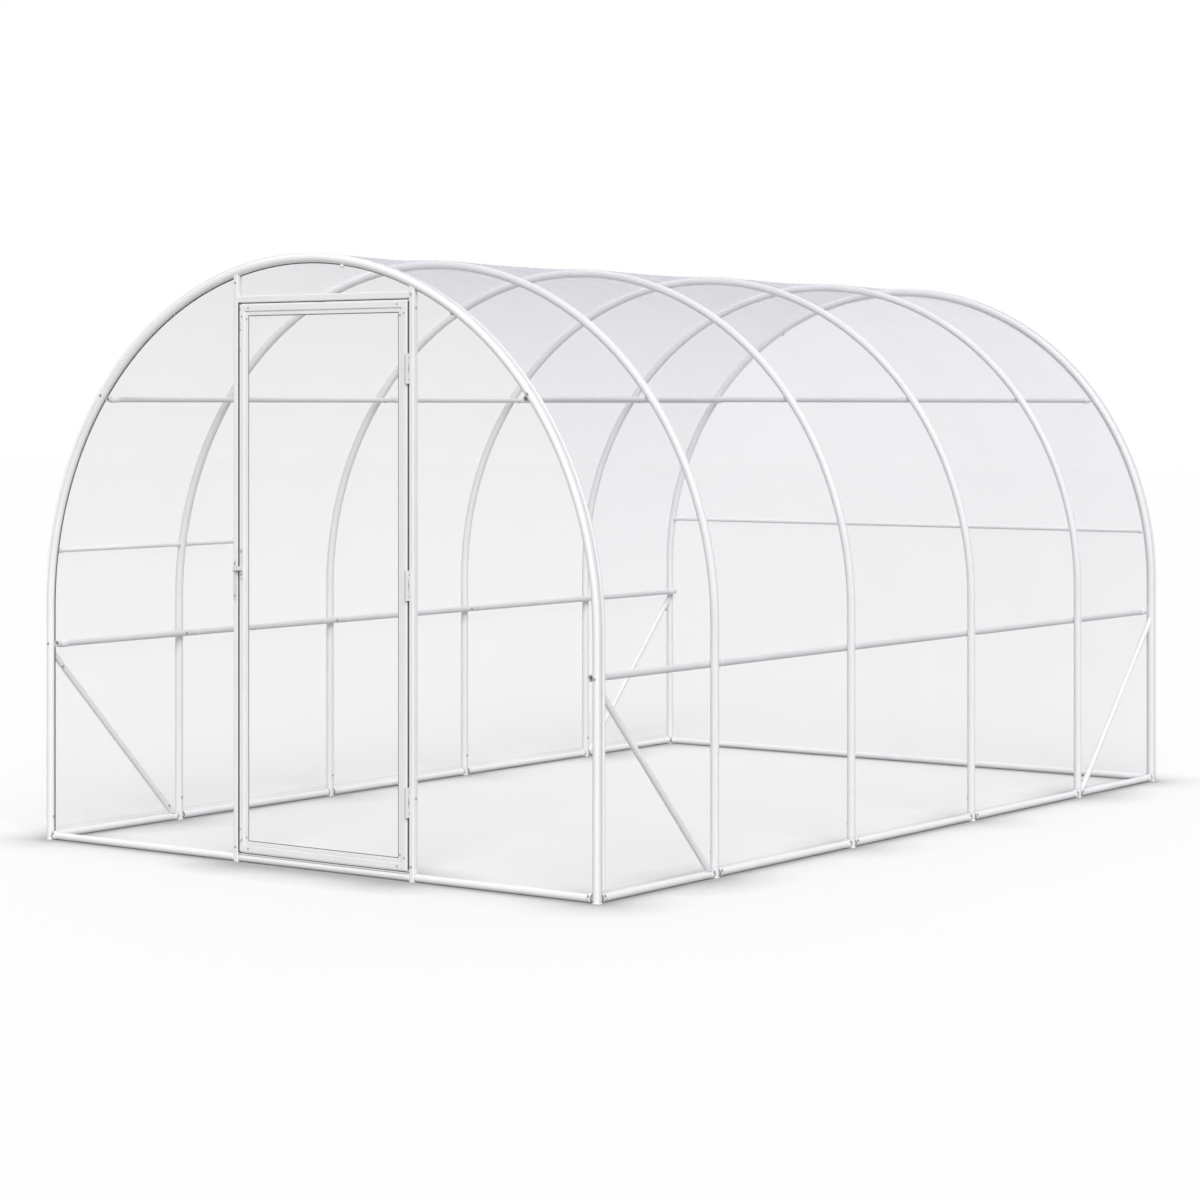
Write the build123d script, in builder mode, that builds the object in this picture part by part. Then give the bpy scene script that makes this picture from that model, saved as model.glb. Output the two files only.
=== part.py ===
"""Polytunnel greenhouse: six bent tube hoops under a clear film cover, with a framed film door.

Units are millimetres, Z is up, the front wall faces -Y and +X is to the right seen from the front.
The origin is at ground level, in the middle of the whole outline.
"""

import os
from math import cos, degrees, radians, sin, sqrt

from build123d import *

# The tunnel, measured between tube centrelines: half-round hoops on straight legs
tunnel_width = 2500
tunnel_length = 4000
leg_height = 860
end_bay = 675
middle_bay_count = 3

# Tubes, film and the play left where pieces seat on each other
hoop_tube = 30
rail_tube = 25
purlin_tube = 20
thin_tube = 16
brace_tube = 22
film_thickness = 3
seat = 0.3
ground_gap = 2
foot_lip = 3
rail_end_round = 6

# Swaged joints: a reduced end of one tube slides into the next
spigot_share = 0.72
spigot_length = 60
rail_joint_offset = 70

# Rails and braces
waist_height = 722
purlin_turn = 38.5
thin_rail_height = 1065
thin_rail_tail = 300
brace_drop = 40
brace_foot = 20

# Doorway
door_centre = 85
post_spacing = 800
post_width = 20
post_depth = 25
bar_round = 4
header_drop = 125
header_height = 24
threshold_thickness = 3
threshold_depth = 22

# Door leaf
latch_gap = 8
hinge_gap = 9
door_top_gap = 6
door_bottom_gap = 6
frame_width = 25
frame_depth = 20
strip_width = 14
strip_depth = 6
strip_recess = 4
strip_round = 2

# Butt hinges
hinge_height = 102
hinge_inset = 230
leaf_width = 7
leaf_thickness = 2.5
leaf_corner = 3
barrel_diameter = 10
pin_diameter = 5
pin_clearance = 0.08
knuckle_gap = 0.3
leaf_notch = 0.6

# Latch
latch_height = 1030
latch_plate_height = 110
latch_plate_width = 15
latch_plate_rise = 18
keeper_height = 140
keeper_width = 14
keeper_drop = 40
plate_thickness = 3
plate_corner = 3
tongue_height = 14
tongue_thickness = 5
tongue_clearance = 5.3
tongue_overlap = 12

# The cover's strips: each side of the half round is cut this far up from its legs
cover_turn = 60

# Sizes that follow from those above
hoop_radius = hoop_tube / 2
rail_radius = rail_tube / 2
purlin_radius = purlin_tube / 2
thin_radius = thin_tube / 2
brace_radius = brace_tube / 2
half_width = tunnel_width / 2
crown_height = leg_height + half_width
rail_height = ground_gap + rail_radius
rail_top = ground_gap + rail_tube
door_face = post_depth / 2
latch_reach = door_face + plate_thickness + tongue_clearance + tongue_thickness
barrel_reach = door_face + barrel_diameter
back_reach = hoop_radius + foot_lip
front_reach = max(latch_reach, barrel_reach, back_reach)
front = (front_reach - back_reach - tunnel_length) / 2
back = front + tunnel_length
middle_bay = (tunnel_length - 2 * end_bay) / middle_bay_count
stations = [front]
stations += [front + end_bay + bay * middle_bay for bay in range(middle_bay_count + 1)]
stations += [back]
header_top = crown_height - header_drop
header_bottom = header_top - header_height
left_post = door_centre - post_spacing / 2
right_post = door_centre + post_spacing / 2
doorway_left = left_post + post_width / 2
doorway_right = right_post - post_width / 2
threshold_top = rail_top + seat + threshold_thickness
door_left = doorway_left + latch_gap
door_right = doorway_right - hinge_gap
door_bottom = threshold_top + door_bottom_gap
door_top = header_bottom - door_top_gap
door_front = front - door_face
hinge_x = (door_right + doorway_right) / 2
hinge_y = door_front - barrel_diameter / 2
hinge_levels = [
    door_bottom + hinge_inset,
    (door_bottom + door_top) / 2,
    door_top - hinge_inset,
]


def save(part, label):
    """Writes one piece under its own name."""
    part.label = label
    export_step(part, f"parts/{label}.step")


def facing(y):
    """The upright plane at y, drawn with X to the right and Z up, facing the front."""
    return Plane.XZ.offset(-y)


def hoop_arc(start, size, shrink=0):
    """An arc of the half round, by its angles from +X, shrink within the centreline."""
    return CenterArc((0, leg_height), half_width - shrink, start, size)


def half_hoop_path(y, side, tip_turn):
    """One half of a hoop: a leg and a quarter round, ending tip_turn short of the crown."""
    with BuildLine(facing(y)) as path:
        Line((side * half_width, 0), (side * half_width, leg_height))
        hoop_arc(90 - side * 90, side * (90 - tip_turn))
    return path.wires()[0]


def arc_path(y, start, size):
    """A run of the half round on its own."""
    with BuildLine(facing(y)) as path:
        hoop_arc(start, size)
    return path.wires()[0]


def tube_along(path, radius, mode=Mode.ADD):
    """Sweeps a round section along a path."""
    with BuildSketch(Plane(origin=path @ 0, z_dir=path % 0)) as section:
        Circle(radius)
    sweep(section.sketch, path=path, mode=mode)


def hoop(y):
    """Two bent halves on lipped feet, the left one's reduced end in the right one's bore."""
    half_gap = degrees(seat / half_width) / 2
    spigot_turn = degrees(spigot_length / half_width)
    bore_turn = degrees((spigot_length + seat) / half_width)
    spigot_radius = hoop_radius * spigot_share
    with BuildPart() as made:
        tube_along(half_hoop_path(y, 1, half_gap), hoop_radius)
        tube_along(arc_path(y, 90 - half_gap, -bore_turn), spigot_radius + seat, Mode.SUBTRACT)
        tube_along(half_hoop_path(y, -1, half_gap), hoop_radius)
        tube_along(arc_path(y, 90 + half_gap, -spigot_turn), spigot_radius)
        with BuildSketch():
            with Locations((-half_width, y), (half_width, y)):
                Circle(hoop_radius + foot_lip)
        extrude(amount=ground_gap - seat)
    return made.part


def bar(start, way, length, radius, mode=Mode.ADD):
    """A straight round bar from a point."""
    with BuildSketch(Plane(origin=start, z_dir=way)) as section:
        Circle(radius)
    extrude(section.sketch, amount=length, mode=mode)


def rod(x, y_from, y_to, z, radius, mode=Mode.ADD):
    """A round bar along the tunnel."""
    bar((x, y_from, z), (0, 1, 0), y_to - y_from, radius, mode)


def domed_bar(start, way, length):
    """A ground rail: a round bar with its end edges rounded over."""
    with BuildPart() as made:
        bar(start, way, length, rail_radius)
        fillet(made.edges().filter_by(GeomType.CIRCLE), rail_end_round)
    return made.part


def joined(parts):
    """Several solids as one piece."""
    with BuildPart() as made:
        add(parts)
    return made.part


def rail_length(x, z, start, end, radius, has_spigot):
    """One length of a jointed rail: bored at its front, and reduced past its back or bored there."""
    bore_radius = radius * spigot_share + seat
    close = end - seat
    with BuildPart() as made:
        rod(x, start, close, z, radius)
        rod(x, start, start + spigot_length, z, bore_radius, Mode.SUBTRACT)
        if has_spigot:
            rod(x, close, close + spigot_length, z, radius * spigot_share)
        else:
            rod(x, close - spigot_length, close, z, bore_radius, Mode.SUBTRACT)
    return made.part


def jointed_rail(x, z, radius):
    """A rail in lengths, each slid over the reduced end of the one before it."""
    joints = [station + rail_joint_offset for station in stations[1:-1]]
    ends = [front + film_thickness / 2 + seat, *joints, back - film_thickness / 2]
    lengths = []
    for start, end in zip(ends, ends[1:]):
        lengths.append(rail_length(x, z, start, end, radius, end != ends[-1]))
    return joined(lengths)


def side_ground_rail(x):
    """Straight lengths that butt between the hoops' feet, one for each bay."""
    lengths = []
    for start, end in zip(stations, stations[1:]):
        low = start + hoop_radius + seat
        high = end - hoop_radius - seat
        lengths.append(domed_bar((x, low, rail_height), (0, 1, 0), high - low))
    return joined(lengths)


def cross_ground_rail(y, spans):
    """Straight lengths across an end wall, one for each span."""
    lengths = []
    for left, right in spans:
        lengths.append(domed_bar((left, y, rail_height), (1, 0, 0), right - left))
    return joined(lengths)


def brace(side, end_station, next_station):
    """A sloping tube from an end hoop at the waist rail down to the next hoop's foot."""
    way = 1 if next_station > end_station else -1
    high = Vector(side * half_width, end_station + way * hoop_radius, waist_height - brace_drop)
    low_y = next_station - way * (hoop_radius + brace_foot)
    low = Vector(side * half_width, low_y, rail_top)
    slope = low - high
    clear_from = min(end_station, next_station) + hoop_radius + seat
    clear_to = max(end_station, next_station) - hoop_radius - seat
    middle = (side * half_width, (clear_from + clear_to) / 2, (rail_top + seat + waist_height) / 2)
    with BuildPart() as made:
        bar(high - slope, slope, slope.length * 3, brace_radius)
        with Locations(middle):
            Box(
                brace_tube * 2,
                clear_to - clear_from,
                waist_height - rail_top - seat,
                mode=Mode.INTERSECT,
            )
    return made.part


def block(x_from, x_to, y_from, y_to, z_from, z_to):
    """A square-edged bar or plate between opposite corners."""
    middle = ((x_from + x_to) / 2, (y_from + y_to) / 2, (z_from + z_to) / 2)
    with Locations(middle):
        Box(x_to - x_from, y_to - y_from, z_to - z_from)


def round_plate(x, z, width, height, corner, y_from, depth):
    """A plate with round corners, drawn on the front with its depth towards the back."""
    with BuildSketch(facing(y_from)) as outline:
        with Locations((x, z)):
            RectangleRounded(width, height, corner)
    extrude(outline.sketch, amount=-depth)


def arch_face(shrink):
    """The face inside a hoop, shrink within its centreline, down to the ground."""
    right = half_width - shrink
    with BuildLine() as edge:
        Line((right, 0), (right, leg_height))
        hoop_arc(0, 180, shrink)
        Line((-right, leg_height), (-right, 0))
        Line((-right, 0), (right, 0))
    make_face(edge.edges())


def end_film(y, x_from, x_to, floor):
    """A flat panel of film in an end wall, inside the hoop and between two uprights."""
    with BuildPart() as made:
        with BuildSketch(facing(y - film_thickness / 2)):
            arch_face(hoop_radius + seat)
            with Locations(((x_from + x_to) / 2, (floor + crown_height) / 2)):
                Rectangle(x_to - x_from, crown_height - floor, mode=Mode.INTERSECT)
        extrude(amount=-film_thickness)
    return made.part


def cover_wall(side):
    """The upright strip of the cover along one side."""
    inner = side * (half_width + hoop_radius + seat)
    outer = inner + side * film_thickness
    with BuildPart() as made:
        block(
            min(inner, outer),
            max(inner, outer),
            front - hoop_radius,
            back + hoop_radius,
            ground_gap,
            leg_height - seat / 2,
        )
    return made.part


def cover_arc(start, size):
    """A curved strip of the cover, bent over a part of the hoops' half round."""
    inner = hoop_radius + seat
    outer = inner + film_thickness
    trim = degrees(seat / 2 / half_width)
    with BuildPart() as made:
        with BuildSketch(facing(front - hoop_radius)):
            with BuildLine():
                under = hoop_arc(start + trim, size - 2 * trim, -inner)
                over = hoop_arc(start + trim, size - 2 * trim, -outer)
                Line(under @ 0, over @ 0)
                Line(under @ 1, over @ 1)
            make_face()
        extrude(amount=-(tunnel_length + hoop_tube))
    return made.part


def door_post(x):
    """A square upright from the ground to the front hoop, coped to the hoop's underside."""
    outer = abs(x) + post_width / 2
    top = leg_height + sqrt(half_width**2 - outer**2)
    with BuildPart() as made:
        block(
            x - post_width / 2,
            x + post_width / 2,
            front - post_depth / 2,
            front + post_depth / 2,
            0,
            top,
        )
        fillet(made.edges().filter_by(Axis.Z), bar_round)
        tube_along(arc_path(front, cover_turn / 2, 180 - cover_turn), hoop_radius + seat, Mode.SUBTRACT)
    return made.part


def flat_bar(corners, y_from, depth, way, edge_round):
    """A bar with its outline drawn on the front and its long edges rounded."""
    with BuildPart() as made:
        with BuildSketch(facing(y_from)) as outline:
            with BuildLine():
                Polyline(*corners, close=True)
            make_face()
        extrude(outline.sketch, amount=-depth)
        fillet(made.edges().filter_by(way), edge_round)
    return made.part


def stiles(x_from, x_to, z_from, z_to, width, y_from, depth, edge_round):
    """The two uprights of a mitred rectangle."""
    bars = []
    for outer, inward in ((x_from, width), (x_to, -width)):
        corners = [
            (outer, z_from),
            (outer + inward, z_from + width),
            (outer + inward, z_to - width),
            (outer, z_to),
        ]
        bars.append(flat_bar(corners, y_from, depth, Axis.Z, edge_round))
    return joined(bars)


def cross_bars(x_from, x_to, z_from, z_to, width, y_from, depth, edge_round):
    """The top and bottom of a mitred rectangle, a hair short of the uprights."""
    bars = []
    for outer, inward in ((z_from, width), (z_to, -width)):
        corners = [
            (x_from + seat, outer),
            (x_to - seat, outer),
            (x_to - width - seat, outer + inward),
            (x_from + width + seat, outer + inward),
        ]
        bars.append(flat_bar(corners, y_from, depth, Axis.X, edge_round))
    return joined(bars)


def upright_rod(z_from, z_to, radius, mode=Mode.ADD):
    """A round bar on the hinge line."""
    bar((hinge_x, hinge_y, z_from), (0, 0, 1), z_to - z_from, radius, mode)


def hinge_plate(level, side):
    """The flat of a hinge leaf with its outer corners rounded: side 1 is the post, -1 the door."""
    near = hinge_x + side * (barrel_diameter / 2 + leaf_notch)
    far = hinge_x + side * (barrel_diameter / 2 + leaf_width)
    low = level - hinge_height / 2
    high = level + hinge_height / 2
    with BuildPart() as made:
        block(min(near, far), max(near, far), door_front - leaf_thickness, door_front, low, high)
        outer_edges = made.edges().filter_by(Axis.Y).filter_by_position(Axis.X, far - seat, far + seat)
        fillet(outer_edges, leaf_corner)
    return made.part


def knuckle(side, low, high):
    """One knuckle of a hinge, with the tab that joins it to its leaf."""
    near = hinge_x + side * (barrel_diameter / 2 + leaf_notch)
    block(min(hinge_x, near), max(hinge_x, near), door_front - leaf_thickness, door_front, low, high)
    upright_rod(low, high, barrel_diameter / 2)


def post_leaf(level):
    """The leaf on the post, with the outer knuckles and the pin."""
    low = level - hinge_height / 2
    high = level + hinge_height / 2
    plate = hinge_plate(level, 1)
    with BuildPart() as made:
        add(plate)
        knuckle(1, low, low + hinge_height / 3)
        knuckle(1, high - hinge_height / 3, high)
        upright_rod(low, high, pin_diameter / 2)
    return made.part


def door_leaf(level):
    """The leaf on the door, with the middle knuckle bored for the pin."""
    reach = hinge_height / 6 - knuckle_gap
    plate = hinge_plate(level, -1)
    with BuildPart() as made:
        add(plate)
        knuckle(-1, level - reach, level + reach)
        bore = pin_diameter / 2 + pin_clearance
        upright_rod(level - reach, level + reach, bore, Mode.SUBTRACT)
    return made.part


os.makedirs("parts", exist_ok=True)

# Hoops
for number, station in enumerate(stations, start=1):
    save(hoop(station), f"hoop_{number}")

# Rails and braces along the two sides
waist_x = half_width - hoop_radius - rail_radius - seat
purlin_reach = half_width - hoop_radius - purlin_radius - seat
purlin_x = purlin_reach * cos(radians(purlin_turn))
purlin_z = leg_height + purlin_reach * sin(radians(purlin_turn))
for side, name in ((-1, "left"), (1, "right")):
    save(side_ground_rail(side * half_width), f"{name}_ground_rail")
    save(jointed_rail(side * waist_x, waist_height, rail_radius), f"{name}_waist_rail")
    save(jointed_rail(side * purlin_x, purlin_z, purlin_radius), f"{name}_purlin")
    save(brace(side, stations[0], stations[1]), f"{name}_front_brace")
    save(brace(side, stations[-1], stations[-2]), f"{name}_back_brace")

# A thinner rail on the left, cut off short in the second bay
thin_x = sqrt(half_width**2 - (thin_rail_height - leg_height) ** 2)
thin_start = stations[1] + hoop_radius + seat
with BuildPart() as left_thin_rail:
    rod(-thin_x, front + hoop_radius + seat, stations[1] - hoop_radius - seat, thin_rail_height, thin_radius)
    rod(-thin_x, thin_start, thin_start + thin_rail_tail, thin_rail_height, thin_radius)
save(left_thin_rail.part, "left_thin_rail")

# Rails across the two ends
rail_end = half_width - hoop_radius - seat
front_spans = [
    (-rail_end, left_post - post_width / 2 - seat),
    (doorway_left + seat, doorway_right - seat),
    (right_post + post_width / 2 + seat, rail_end),
]
save(cross_ground_rail(front, front_spans), "front_ground_rail")
save(cross_ground_rail(back, [(-rail_end, rail_end)]), "back_ground_rail")

thin_rise = thin_rail_height + thin_radius - leg_height
thin_end = sqrt((half_width - hoop_radius) ** 2 - thin_rise**2) - seat
thin_y = back - film_thickness / 2 - seat - thin_radius
with BuildPart() as back_cross_rail:
    bar((-thin_end, thin_y, thin_rail_height), (1, 0, 0), thin_end * 2, thin_radius)
save(back_cross_rail.part, "back_cross_rail")

# Doorway
save(door_post(left_post), "left_door_post")
save(door_post(right_post), "right_door_post")

with BuildPart() as door_header:
    block(
        doorway_left + seat,
        doorway_right - seat,
        front - post_depth / 2,
        front + post_depth / 2,
        header_bottom,
        header_top,
    )
    fillet(door_header.edges().filter_by(Axis.X), bar_round)
save(door_header.part, "door_header")

with BuildPart() as threshold_strip:
    block(
        doorway_left + seat,
        doorway_right - seat,
        front - threshold_depth / 2,
        front + threshold_depth / 2,
        rail_top + seat,
        threshold_top,
    )
save(threshold_strip.part, "threshold_strip")

# Door leaf: a mitred frame, a stepped strip inside it and the film held behind the strip
opening_left = door_left + frame_width + seat
opening_right = door_right - frame_width - seat
opening_bottom = door_bottom + frame_width + seat
opening_top = door_top - frame_width - seat
strip_front = door_front + strip_recess
frame_outline = (door_left, door_right, door_bottom, door_top)
opening_outline = (opening_left, opening_right, opening_bottom, opening_top)
frame_section = (frame_width, door_front, frame_depth, bar_round)
strip_section = (strip_width, strip_front, strip_depth, strip_round)
save(stiles(*frame_outline, *frame_section), "door_stiles")
save(cross_bars(*frame_outline, *frame_section), "door_rails")
save(stiles(*opening_outline, *strip_section), "door_strip_stiles")
save(cross_bars(*opening_outline, *strip_section), "door_strip_rails")

film_front = strip_front + strip_depth + seat
with BuildPart() as door_film:
    block(
        opening_left,
        opening_right,
        film_front,
        film_front + film_thickness,
        opening_bottom,
        opening_top,
    )
save(door_film.part, "door_film")

# Hinges
save(joined([post_leaf(level) for level in hinge_levels]), "post_hinge_leaves")
save(joined([door_leaf(level) for level in hinge_levels]), "door_hinge_leaves")

# Latch: a plate on the door with a tongue that reaches over a plate on the post
latch_x = door_left + frame_width / 2
plate_front = door_front - plate_thickness
tongue_back = plate_front - tongue_clearance
tongue_front = tongue_back - tongue_thickness
tongue_left = doorway_left - tongue_overlap
tongue_right = latch_x + latch_plate_width / 2
tongue_middle = (tongue_left + tongue_right) / 2
with BuildPart() as door_latch:
    round_plate(
        latch_x,
        latch_height + latch_plate_rise,
        latch_plate_width,
        latch_plate_height,
        plate_corner,
        plate_front,
        plate_thickness,
    )
    block(
        latch_x - latch_plate_width / 2,
        latch_x + latch_plate_width / 2,
        tongue_back,
        plate_front,
        latch_height - tongue_height / 2,
        latch_height + tongue_height / 2,
    )
    round_plate(
        tongue_middle,
        latch_height,
        tongue_right - tongue_left,
        tongue_height,
        plate_corner,
        tongue_front,
        tongue_thickness,
    )
save(door_latch.part, "door_latch")

with BuildPart() as latch_keeper:
    round_plate(
        left_post,
        latch_height - keeper_drop,
        keeper_width,
        keeper_height,
        plate_corner,
        plate_front,
        plate_thickness,
    )
save(latch_keeper.part, "latch_keeper")

# Film on the end walls
film_floor = rail_top + seat
save(end_film(front, -half_width, left_post - post_width / 2 - seat, film_floor), "front_film_left")
save(end_film(front, right_post + post_width / 2 + seat, half_width, film_floor), "front_film_right")
save(end_film(front, doorway_left + seat, doorway_right - seat, header_top + seat), "front_film_top")
save(end_film(back, -half_width, half_width, film_floor), "back_film")

# Cover over the hoops, in five strips
save(cover_wall(-1), "cover_left_wall")
save(cover_wall(1), "cover_right_wall")
save(cover_arc(180 - cover_turn, cover_turn), "cover_left_haunch")
save(cover_arc(0, cover_turn), "cover_right_haunch")
save(cover_arc(cover_turn, 180 - 2 * cover_turn), "cover_crown")
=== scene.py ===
"""Looks of a walk-in polytunnel greenhouse, in metres, +Z up, with the door wall towards -Y."""

import math

import bmesh
import bpy
import numpy as np
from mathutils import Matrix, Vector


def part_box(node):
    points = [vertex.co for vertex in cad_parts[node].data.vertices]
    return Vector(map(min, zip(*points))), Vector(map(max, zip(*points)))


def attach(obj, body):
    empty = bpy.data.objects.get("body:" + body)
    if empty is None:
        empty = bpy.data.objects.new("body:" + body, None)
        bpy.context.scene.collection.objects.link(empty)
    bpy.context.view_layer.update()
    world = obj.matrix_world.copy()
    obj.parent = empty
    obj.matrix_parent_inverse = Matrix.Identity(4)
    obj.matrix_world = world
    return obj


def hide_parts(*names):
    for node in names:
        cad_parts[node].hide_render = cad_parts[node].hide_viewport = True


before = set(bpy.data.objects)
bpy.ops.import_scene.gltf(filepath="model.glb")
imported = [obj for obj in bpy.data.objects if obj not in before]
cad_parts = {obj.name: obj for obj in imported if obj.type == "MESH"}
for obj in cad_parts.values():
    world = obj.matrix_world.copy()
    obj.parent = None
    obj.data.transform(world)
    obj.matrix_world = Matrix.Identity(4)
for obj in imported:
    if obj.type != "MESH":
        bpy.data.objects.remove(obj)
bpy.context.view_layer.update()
scene = bpy.context.scene
scene.view_settings.view_transform = "Standard"

# Camera: level, to the right of the door wall, at about a standing person's eye height.
# The lens is shifted down so that uprights stay upright in the picture.
picture_width = 1200
lens_pixels = 3066.6
horizon_row = 406.0
camera_data = bpy.data.cameras.new("camera")
camera_data.sensor_width = 36
camera_data.lens = lens_pixels / picture_width * camera_data.sensor_width
camera_data.shift_y = (horizon_row - picture_width / 2) / picture_width
camera_data.clip_end = 200
camera = bpy.data.objects.new("camera", camera_data)
camera.location = (7.070, -9.946, 1.599)
camera.rotation_euler = (math.pi / 2, 0, 0.631)
scene.collection.objects.link(camera)
scene.camera = camera

# Studio: a wide soft lamp overhead, a soft lamp from beyond the camera's right shoulder, a weaker
# one from behind the tunnel and a faint sky. Seen directly or in a gloss, the sky is plain white.
lamps = (
    ("overhead_lamp", 1.1, 110, 0, 0),
    ("key_lamp", 2.8, 40, 55, 44),
    ("back_lamp", 0.8, 90, 60, 224),
)
for name, energy, spread, tilt, turn in lamps:
    lamp_data = bpy.data.lights.new(name, "SUN")
    lamp_data.energy = energy
    lamp_data.angle = math.radians(spread)
    lamp = bpy.data.objects.new(name, lamp_data)
    lamp.rotation_euler = (math.radians(tilt), 0, math.radians(turn))
    scene.collection.objects.link(lamp)

sky = bpy.data.worlds.new("studio_sky")
sky.use_nodes = True
scene.world = sky
sky_nodes, sky_links = sky.node_tree.nodes, sky.node_tree.links
lit_sky = sky_nodes["Background"]
lit_sky.inputs["Color"].default_value = (1, 1, 1, 1)
lit_sky.inputs["Strength"].default_value = 0.16
seen_sky = sky_nodes.new("ShaderNodeBackground")
seen_sky.inputs["Color"].default_value = (1, 1, 1, 1)
seen_sky.inputs["Strength"].default_value = 1.0


def seen_share(nodes, links):
    """One for rays that show a surface to the eye, straight, in a gloss or through glass, else zero."""
    ray = nodes.new("ShaderNodeLightPath")
    total = ray.outputs["Is Camera Ray"]
    for other in ("Is Glossy Ray", "Is Transmission Ray"):
        larger = nodes.new("ShaderNodeMath")
        larger.operation = "MAXIMUM"
        links.new(total, larger.inputs[0])
        links.new(ray.outputs[other], larger.inputs[1])
        total = larger.outputs[0]
    return total


sky_mix = sky_nodes.new("ShaderNodeMixShader")
sky_links.new(seen_share(sky_nodes, sky_links), sky_mix.inputs["Fac"])
sky_links.new(lit_sky.outputs[0], sky_mix.inputs[1])
sky_links.new(seen_sky.outputs[0], sky_mix.inputs[2])
sky_links.new(sky_mix.outputs[0], sky_nodes["World Output"].inputs["Surface"])


def surface(name, points, closed=(False, False), sharp=None):
    """A mesh of four-sided faces over patches of points, given as patches by rows by columns.

    Either direction may be closed on itself; points that coincide at a pole are merged.
    """
    patches, rows, columns = points.shape[:3]
    index = np.arange(patches * rows * columns).reshape(patches, rows, columns)
    if closed[0]:
        index = np.concatenate([index, index[:, :1]], axis=1)
    if closed[1]:
        index = np.concatenate([index, index[:, :, :1]], axis=2)
    corners = [index[:, :-1, :-1], index[:, 1:, :-1], index[:, 1:, 1:], index[:, :-1, 1:]]
    faces = np.stack(corners, axis=-1).reshape(-1, 4)
    mesh = bpy.data.meshes.new(name)
    mesh.from_pydata(points.reshape(-1, 3).tolist(), [], faces.tolist())
    if any(closed):
        shell = bmesh.new()
        shell.from_mesh(mesh)
        bmesh.ops.remove_doubles(shell, verts=shell.verts, dist=1e-6)
        bmesh.ops.recalc_face_normals(shell, faces=shell.faces)
        shell.to_mesh(mesh)
        shell.free()
    mesh.polygons.foreach_set("use_smooth", np.ones(len(mesh.polygons), bool))
    if sharp is not None:
        mesh.set_sharp_from_angle(angle=math.radians(sharp))
    piece = bpy.data.objects.new(name, mesh)
    scene.collection.objects.link(piece)
    return piece


# Floor: a plain white studio floor just under the feet, which takes the tunnel's shadow.
# Close to whatever stands on it, its colour is darkened: a painted contact shadow, worked out from how near
# other surfaces are.
floor_reach = 60.0
floor_level = -0.0006
lit_tone, painted_shade_tone, open_tone = 0.5, 0.43, 0.86
contact_reach, contact_power = 0.3, 10.0
floor_line = np.linspace(-floor_reach, floor_reach, 3)
floor_x, floor_y = np.meshgrid(floor_line, floor_line, indexing="ij")
floor_points = np.stack([floor_x, floor_y, np.full_like(floor_x, floor_level)], axis=-1)
floor = surface("floor", floor_points[None])
floor_paint = bpy.data.materials.new("floor_paint")
floor_paint.use_nodes = True
floor_nodes, floor_links = floor_paint.node_tree.nodes, floor_paint.node_tree.links
lit_floor = floor_nodes.new("ShaderNodeBsdfDiffuse")
lit_floor.inputs["Color"].default_value = (lit_tone, lit_tone, lit_tone, 1)
seen_floor = floor_nodes["Principled BSDF"]
seen_floor.inputs["Roughness"].default_value = 0.9
seen_floor.inputs["Specular IOR Level"].default_value = 0.0
# Painted contact shadow: near other surfaces the seen floor colour runs to the darker tone, by ambient
# occlusion raised to a power.
nearness = floor_nodes.new("ShaderNodeAmbientOcclusion")
nearness.samples = 24
nearness.inputs["Distance"].default_value = contact_reach
painted_contact_shade = floor_nodes.new("ShaderNodeMath")
painted_contact_shade.operation = "POWER"
painted_contact_shade.inputs[1].default_value = contact_power
floor_links.new(nearness.outputs["AO"], painted_contact_shade.inputs[0])
floor_tone = floor_nodes.new("ShaderNodeMix")
floor_tone.data_type = "RGBA"
floor_tone.inputs["A"].default_value = (painted_shade_tone, painted_shade_tone, painted_shade_tone, 1)
floor_tone.inputs["B"].default_value = (open_tone, open_tone, open_tone, 1)
floor_links.new(painted_contact_shade.outputs[0], floor_tone.inputs["Factor"])
floor_links.new(floor_tone.outputs["Result"], seen_floor.inputs["Base Color"])
floor_mix = floor_nodes.new("ShaderNodeMixShader")
floor_links.new(seen_share(floor_nodes, floor_links), floor_mix.inputs["Fac"])
floor_links.new(lit_floor.outputs[0], floor_mix.inputs[1])
floor_links.new(seen_floor.outputs[0], floor_mix.inputs[2])
floor_links.new(floor_mix.outputs[0], floor_nodes["Material Output"].inputs["Surface"])
floor.data.materials.append(floor_paint)


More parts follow.
